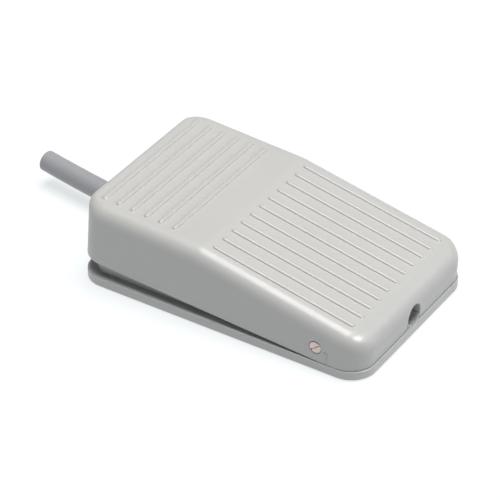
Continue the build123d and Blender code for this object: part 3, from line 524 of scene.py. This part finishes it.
def roll_radius(angle, low_end, inset):
    """Edge radius round a plan corner: angle 0 on the side wall, a quarter turn on the end wall."""
    t = np.clip(angle / (math.pi / 2), 0, 1)
    end_round = np.where(low_end, LOW_ROLL, TALL_ROUND)
    return np.maximum(TOP_ROUND + (end_round - TOP_ROUND) * t * t * (3 - 2 * t) - inset, 0.4)


def cover_surface(inset):
    """One skin of the level cover, drawn in by inset and open at its foot: (points, faces)."""
    corner = CORNER - inset
    outer = inset == 0
    # grid lines of the tread, crowded at the ribs' ends, the plan corners' middles and the crease
    side = lines(
        LONG_RIBS,
        -27.8,
        27.8,
        [sign * x for sign in (-1, 1) for x in (ARC_X, 25.0, 26.9, 27.1, 27.4)],
        0.9,
    ) if outer else np.linspace(-26.6, 26.6, 45)
    along = lines(
        [*CROSS_RIBS, LONG_START],
        -45.2,
        49.0,
        [-45.0, -44.8, -44.6, -44.4, -44.2, -44.0, -43.6, -ARC_Y, ARC_Y, 44.0, 44.5, 45.0, 48.3,
         7.3, 7.7, 7.9, 8.2, 8.5, 8.8, 9.1, 9.35, 9.6, 10.0],
        1.8,
    ) if outer else np.concatenate([
        np.linspace(-44.9, -43.4, 4), np.linspace(-41.0, 7.2, 14), np.linspace(7.8, 9.4, 7),
        np.linspace(12.0, 42.0, 9), np.linspace(43.4, 47.0, 7),
    ])
    columns, rows = len(side) + 2, len(along) + 2

    def reach_at(py, ny, angle, low_corner):
        """Distance from a corner's middle to the flat tread's edge, for a wall's foot at py."""
        roll = roll_radius(angle, low_corner, inset)
        _, centre_run, _, rise = edge_profile(py, ny, roll, inset)
        return corner - (centre_run - roll * np.sin(rise))

    def corner_reach(angle, low_corner):
        ny = np.sin(angle) * (-1 if low_corner else 1)
        return reach_at((-ARC_Y if low_corner else ARC_Y) + corner * ny, ny, angle, low_corner)

    side_reach = {low: float(corner_reach(np.array(0.0), low)) for low in (True, False)}
    end_reach = {low: float(corner_reach(np.array(math.pi / 2), low)) for low in (True, False)}

    place = np.zeros((rows, columns, 2))
    border = {}
    for j in range(rows):
        for i in range(columns):
            edge_x, edge_y = i in (0, columns - 1), j in (0, rows - 1)
            x = side[i - 1] if 0 < i < columns - 1 else math.copysign(99, i - 1)
            y = along[j - 1] if 0 < j < rows - 1 else math.copysign(99, j - 1)
            low_half = y < 0
            beyond_x, beyond_y = abs(x) > ARC_X, abs(y) > ARC_Y
            sx, sy = math.copysign(1, x), math.copysign(1, y)
            a = 1.0 if edge_x else (abs(x) - ARC_X) / side_reach[low_half]
            b = 1.0 if edge_y else (abs(y) - ARC_Y) / end_reach[low_half]
            if beyond_x and beyond_y:
                u, v = a * math.sqrt(1 - b * b / 2), b * math.sqrt(1 - a * a / 2)
                angle, reach = math.atan2(v, u), math.hypot(u, v)
                r = float(corner_reach(np.array(angle), low_half)) * reach
                place[j, i] = sx * (ARC_X + r * math.cos(angle)), sy * (ARC_Y + r * math.sin(angle))
                normal = (sx * math.cos(angle), sy * math.sin(angle))
                foot = (sx * (ARC_X + corner * math.cos(angle)), sy * (ARC_Y + corner * math.sin(angle)))
            elif edge_x:
                r = reach_at(np.array(y), np.array(0.0), np.array(0.0), False)
                place[j, i] = sx * (ARC_X + float(r)), y
                normal, angle, foot = (sx, 0.0), 0.0, (sx * (ARC_X + corner), y)
            elif edge_y:
                place[j, i] = x, sy * (ARC_Y + end_reach[low_half])
                normal, angle, foot = (0.0, sy), math.pi / 2, (x, sy * (ARC_Y + corner))
            else:
                place[j, i] = x, y
            if edge_x or edge_y:
                border[(j, i)] = (*foot, *normal, angle)

    loop = [(0, i) for i in range(columns)] + [(j, columns - 1) for j in range(1, rows)]
    loop += [(rows - 1, i) for i in range(columns - 2, -1, -1)]
    loop += [(j, 0) for j in range(rows - 2, 0, -1)]
    px, py, nx, ny, angle = np.array([border[k] for k in loop]).T
    roll = roll_radius(angle, py < 0, inset)
    wall_z, centre_run, centre_z, rise = edge_profile(py, ny, roll, inset)

    # rings from the foot to the tread's edge, as (run inwards, height, angle round the rounded edge)
    foot_z = skirt_z(py)
    rings = []
    if outer:
        for run, up in ((0.14, 0.0), (0.06, 0.03), (0.015, 0.08), (0.0, SKIRT_ROUND)):
            rings.append((run + up * LEAN, foot_z + up, None))
    else:
        rings.append((0 * foot_z, foot_z, None))
    start_z = foot_z + (SKIRT_ROUND if outer else 0.0)
    for share in ((0.12, 0.3, 0.5, 0.7, 0.88, 0.97) if outer else (0.5,)):
        z = start_z + (wall_z - start_z) * share
        rings.append(((z - SKIRT_Z) * LEAN, z, None))
    if outer:  # closer together towards the tread, where the ribs run out
        shares = [*np.linspace(0, 1, 25)[:-4], 0.86, 0.885, 0.91, 0.93, 0.95, 0.965, 0.98]
    else:
        shares = np.linspace(0, 1, 7)[:-1]
    begin, end = math.pi - math.radians(DRAFT), math.pi / 2 + rise
    for share in shares:
        turn = begin + (end - begin) * share
        run, z = centre_run + roll * np.cos(turn), centre_z + roll * np.sin(turn)
        rings.append((run, z, turn))

    verts, faces = [], []
    for run, z, turn in rings:
        x, y = px - nx * run, py - ny * run
        if outer and turn is not None:
            lift = rib_height(x, y)
            level = np.cos(turn)
            x, y, z = x - nx * level * lift, y - ny * level * lift, z + np.sin(turn) * lift
        verts += list(zip(x, y, z + 0 * x))
    count = len(loop)
    grid = {}
    for j in range(rows):
        for i in range(columns):
            if outer or (j, i) in border:  # the inner skin's tread has points only round its edge
                grid[(j, i)] = len(verts) + len(grid)
    flat = np.array([place[j, i] for j, i in grid])
    gx, gy = flat[:, 0], flat[:, 1]
    gz = tread_z(gy) - inset
    if outer:
        slope = tread_slope(gy)
        size = np.sqrt(1 + slope**2)
        lift = rib_height(gx, gy)
        gy, gz = gy - slope / size * lift, gz + lift / size
    verts += list(zip(gx, gy, gz))

    for k in range(len(rings) - 1):
        for s in range(count):
            t = (s + 1) % count
            faces.append((k * count + s, k * count + t, (k + 1) * count + t, (k + 1) * count + s))
    last = (len(rings) - 1) * count
    for s in range(count):
        t = (s + 1) % count
        faces.append((last + s, last + t, grid[loop[t]], grid[loop[s]]))
    if outer:
        for j in range(rows - 1):
            for i in range(columns - 1):
                corners = ((j, i), (j, i + 1), (j + 1, i + 1), (j + 1, i))
                faces.append(tuple(grid[at] for at in corners))
    else:
        ends = (0, columns - 1)
        for j in range(rows - 1):
            lower = [grid[(j, i)] for i in (range(columns) if j == 0 else ends)]
            upper = [grid[(j + 1, i)] for i in (range(columns) if j == rows - 2 else ends)]
            faces.append((*lower, *reversed(upper)))
    return verts, faces


def closed_cover():
    """Outer and inner skin, joined by the skirt's lower edge."""
    obj = new_object("rocker_cover_shell", *joined([cover_surface(0), cover_surface(WALL)]))
    bm = bmesh.new()
    bm.from_mesh(obj.data)
    open_edges = [e for e in bm.edges if e.is_boundary]
    bmesh.ops.bridge_loops(bm, edges=open_edges)
    bmesh.ops.recalc_face_normals(bm, faces=bm.faces)
    bm.to_mesh(obj.data)
    bm.free()
    return obj


def arch(centre_x, radius, centre_z, foot_z, steps=40):
    """Outline of an upside-down U, as (x, z)."""
    turns = [math.pi * k / steps for k in range(steps + 1)]
    arc = [(centre_x + radius * math.cos(t), centre_z + radius * math.sin(t)) for t in turns]
    return [(centre_x + radius, foot_z), *arc, (centre_x - radius, foot_z)]


def arch_cutter(end, centre_x, radius, top, depth):
    """Tunnel through an end wall, with a rounded mouth; end is -1 for the low end, 1 for the tall end."""
    sections = []
    steps = [(-1.5, MOUTH_ROUND)]
    for k in range(7):
        a = math.pi / 2 * k / 6
        steps.append((MOUTH_ROUND * (1 - math.cos(a)) - 0.012, MOUTH_ROUND * (1 - math.sin(a))))
    steps.append((depth, 0.0))
    for inwards, wider in steps:
        outline = arch(centre_x, radius + wider, top - radius, -3.0)
        sections.append([
            (x, end * (HALF_LENGTH - (z - SKIRT_Z) * LEAN - inwards), z) for x, z in outline
        ])
    return loft(sections)


# Profiles of the round details inside the cover, as (height, radius).
SPRING_SEAT = [
    (11.8, 0.0), (11.8, 2.7), (12.1, 3.1), (14.4, 3.1), (14.4, 5.2), (14.6, 5.4), (23.2, 5.5), (23.2, 0.0),
]
STOP_PAD = [(19.8, 0.0), (19.8, 2.8), (20.0, 3.0), (23.2, 3.1), (23.2, 0.0)]
SCREW_BOSS = [(20.25, 0.0), (20.25, 3.8), (20.45, 4.0), (22.9, 4.1), (22.9, 0.0)]
SCREW_HOLE = [(20.2, 0.0), (20.2, SCREW_BORE), (22.4, SCREW_BORE), (22.4, 0.0)]
# The pin's hole, with a rounded mouth, as (distance from the middle, radius).
PIN_HOLE = [
    (36.0, 3.04), (33.0, 3.04), (32.95, 2.94), (32.74, 2.36), (32.66, 2.2), (32.55, 2.15), (26.0, 2.15),
]
# A mould line back from the pin's hole and down to the skirt, as (y, z).
MOULD_LINE = [(-38.2, 8.1), (-40.1, 8.1), (-40.1, 4.0), (-39.88, 4.0), (-39.88, 7.88), (-38.2, 7.88)]

cover = closed_cover()

stiffener_ys = [-42.0, -20.0, 7.9, 8.6, 9.3, 44.0]
stiffener = [(y, float(tread_z(y)) - 1.0) for y in stiffener_ys]
stiffener += [(y, float(tread_z(y)) - WALL - STIFFENER_DEEP) for y in reversed(stiffener_ys)]
inside = []
for side in (-1, 1):
    middle = side * STIFFENER_X
    inside.append(lathe(SPRING_SEAT, (side * SPRING_X, SPRING_Y, 0)))
    inside.append(lathe(STOP_PAD, (side * STOP_X, STOP_Y, 0)))
    inside.append(prism(stiffener, middle - STIFFENER_HALF, middle + STIFFENER_HALF, "yz"))
inside.append(lathe(SCREW_BOSS, (0, SCREW_Y, 0)))
boolean(cover, inside, "UNION")

# a collar inside the low end, round the second outlet
COLLAR_WALL = 1.6
inner_low_y = -HALF_LENGTH + WALL
collar = []
for y in (inner_low_y - 0.9, inner_low_y + 4.2):
    spring_z, foot_z = OUTLET_TOP - OUTLET_RADIUS, float(skirt_z(y)) + 0.02
    outline = arch(OUTLET_X, OUTLET_RADIUS + COLLAR_WALL, spring_z, foot_z)
    collar.append([(x, y, z) for x, z in outline])
boolean(cover, [loft(collar)], "UNION")

root_x, proud_x = HALF_WIDTH - MOULD_LINE_ROOT, HALF_WIDTH + MOULD_LINE_PROUD
boolean(cover, [
    prism(MOULD_LINE, -proud_x, -root_x, "yz"),
    prism(MOULD_LINE, root_x, proud_x, "yz"),
], "UNION")

cuts = [
    arch_cutter(-1, OUTLET_X, OUTLET_RADIUS, OUTLET_TOP, 8.0),
    arch_cutter(1, 0.0, CORD_ARCH_RADIUS, CORD_ARCH_TOP, 4.0),
    lathe(SCREW_HOLE, (0, SCREW_Y, 0)),
]
for side in (-1, 1):
    cuts.append(lathe([(side * x, r) for x, r in PIN_HOLE], (0, PIVOT_Y, PIVOT_Z), "x"))
boolean(cover, cuts, "DIFFERENCE")
swing_up(cover)
finish_mesh(cover, 40.0)
clothe(cover, cover_plastic)
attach(cover, "pedal")
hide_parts("rocker_cover")


# ---- return springs ------------------------------------------------------------------------------
def swept(path, normals, radius, steps=12):
    """Round wire along a path, as (points, faces), with a sideways direction at each point."""
    sections = []
    for k, (place, sideways) in enumerate(zip(path, normals)):
        ahead = Vector(path[min(k + 1, len(path) - 1)]) - Vector(path[max(k - 1, 0)])
        upright = Vector(sideways).cross(ahead).normalized()
        level = ahead.cross(upright).normalized()
        sections.append([
            Vector(place) + radius * (math.cos(a) * level + math.sin(a) * upright) for a in angles(steps)
        ])
    return loft(sections)


def return_spring(name, side):
    """Compression spring with a closed turn at each end."""
    turns, per_turn = 8, 40
    low, high = SPRING_FOOT + WIRE_RADIUS, SPRING_TOP - WIRE_RADIUS
    closed = 2 * WIRE_RADIUS + 0.04  # rise of a closed turn
    path, outwards = [], []
    for k in range(turns * per_turn + 1):
        turned = k / per_turn
        levels = [low, low + closed, high - closed, high]
        z = float(np.interp(turned, [0, 1, turns - 1, turns], levels))
        direction = Vector((math.cos(2 * math.pi * turned), math.sin(2 * math.pi * turned), 0))
        path.append(Vector((side * SPRING_X, SPRING_Y, z)) + SPRING_RADIUS * direction)
        outwards.append(direction)
    spring = finish_mesh(new_object(name, *swept(path, outwards, WIRE_RADIUS)))
    clothe(spring, spring_steel)
    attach(spring, "base")
    return spring


for name, side in (("return_spring_left", -1), ("return_spring_right", 1)):
    spring = return_spring(name + "_coil", side)
    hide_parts(name)
    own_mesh(spring)


# ---- cord boot -----------------------------------------------------------------------------------
BOOT_START, BOOT_END, BOOT_BORE = 44.85, 62.8, 3.65
BOOT_RIBS, BOOT_RIB_PITCH, BOOT_RIB_START = 5, 2.1, 52.3


def boot_profile():
    """Flange, neck, body and tapering ribs, as (y, radius)."""
    profile = [(BOOT_START, BOOT_BORE), (BOOT_START, 4.9), (BOOT_START + 0.25, 5.12), (46.6, 5.12)]
    profile += [(46.95, 4.9), (46.98, 4.4), (49.05, 4.36), (49.1, 4.6), (49.4, 4.84), (51.9, 4.84)]
    for rib in range(BOOT_RIBS):
        start, crest = BOOT_RIB_START + BOOT_RIB_PITCH * rib, 4.8 - 0.13 * rib
        groove = max(crest - 0.55, 3.85)
        profile += [(start - 0.12, groove), (start + 0.15, crest - 0.12), (start + 0.35, crest)]
        profile += [(start + 1.0, crest), (start + 1.2, crest - 0.12), (start + 1.45, groove)]
    return profile + [(BOOT_END - 0.3, 3.95), (BOOT_END - 0.06, 3.85), (BOOT_END, BOOT_BORE)]


def boot_middle(y):
    """The boot's middle line: straight through the wall, then along the cord."""
    cord_x, cord_z = (float(np.interp(y, cord_line[:, 1], cord_line[:, k])) for k in (0, 2))
    share = min(max((y - 49.0) / 6.0, 0.0), 1.0)
    share = share * share * (3 - 2 * share)
    return Vector((cord_x * share, y, CORD_Z + (cord_z - CORD_Z) * share))


sections = []
for y, radius in boot_profile():
    middle = boot_middle(y)
    level, up = across((boot_middle(y + 0.5) - boot_middle(y - 0.5)).normalized())
    sections.append([middle + radius * (math.cos(a) * level + math.sin(a) * up) for a in angles(56)])
boot = finish_mesh(new_object("cord_boot_ribbed", *loft(sections)), 50.0)
clothe(boot, boot_rubber)
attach(boot, "base")
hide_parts("cord_boot")


# ---- the cord's cut end --------------------------------------------------------------------------
def cord_end_piece(name, material, discs, reach):
    """Small domed discs on the cord's end face, from (sideways, up, radius) each."""
    end, before = Vector(cord_line[-1]), Vector(cord_line[-2])
    ahead = (end - before).normalized()
    level, up = across(ahead)
    parts = []
    for sideways, high, radius in discs:
        middle = end + sideways * level + high * up
        rings = []
        for along, share in ((-1.2, 1.0), (reach * 0.4, 1.0), (reach * 0.8, 0.9), (reach, 0.72)):
            centre = middle + along * ahead
            rings.append([
                centre + radius * share * (math.cos(a) * level + math.sin(a) * up) for a in angles(24)
            ])
        parts.append(loft(rings))
    piece = finish_mesh(new_object(name, *joined(parts)))
    clothe(piece, material)
    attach(piece, "base")
    return piece


CORE_RING, CORE_RADIUS = 1.75, 1.1
STRAND_RING, STRAND_RADIUS = 0.4, 0.19
core_places = [(CORE_RING * math.sin(a), CORE_RING * math.cos(a)) for a in angles(3)]
for (name, material), (u, v) in zip(
    (("core_brown", core_brown), ("core_blue", core_blue), ("core_black", core_black)), core_places
):
    discs = [(u, v, CORE_RADIUS)]
    cord_end_piece("cord_end_" + name, material, discs, 0.05)
strands = []
for u, v in core_places:
    strands.append((u, v, STRAND_RADIUS))
    for a in angles(6):
        strands.append((u + STRAND_RING * math.cos(a), v + STRAND_RING * math.sin(a), STRAND_RADIUS))
cord_end_piece("cord_end_strands", copper, strands, 0.12)


# ---- CAD nodes that stay -------------------------------------------------------------------------
for name, material in (
    ("base_tray", base_plastic),
    ("anti_slip_feet", foot_rubber),
    ("actuator_screw", zinc_steel),
    ("lock_nut", zinc_steel),
    ("pivot_insert_left", brass),
    ("pivot_insert_right", brass),
    ("pivot_pin_left", nickel),
    ("pivot_pin_right", nickel),
    ("stop_bumpers", foot_rubber),
    ("switch_case", switch_plastic),
    ("switch_lid", switch_plastic),
    ("terminal_common", tinned_brass),
    ("terminal_open", tinned_brass),
    ("terminal_closed", tinned_brass),
    ("snap_blade", tinned_brass),
    ("switch_plunger", plunger_plastic),
    ("switch_lever", spring_steel),
    ("lever_pin", zinc_steel),
    ("switch_screws", zinc_steel),
    ("cord_clamp", base_plastic),
    ("clamp_screws", zinc_steel),
    ("core_common", core_brown),
    ("core_open", core_blue),
    ("core_closed", core_black),
    ("wire_sleeves", sleeve_plastic),
):
    clothe(nodes[name], material)
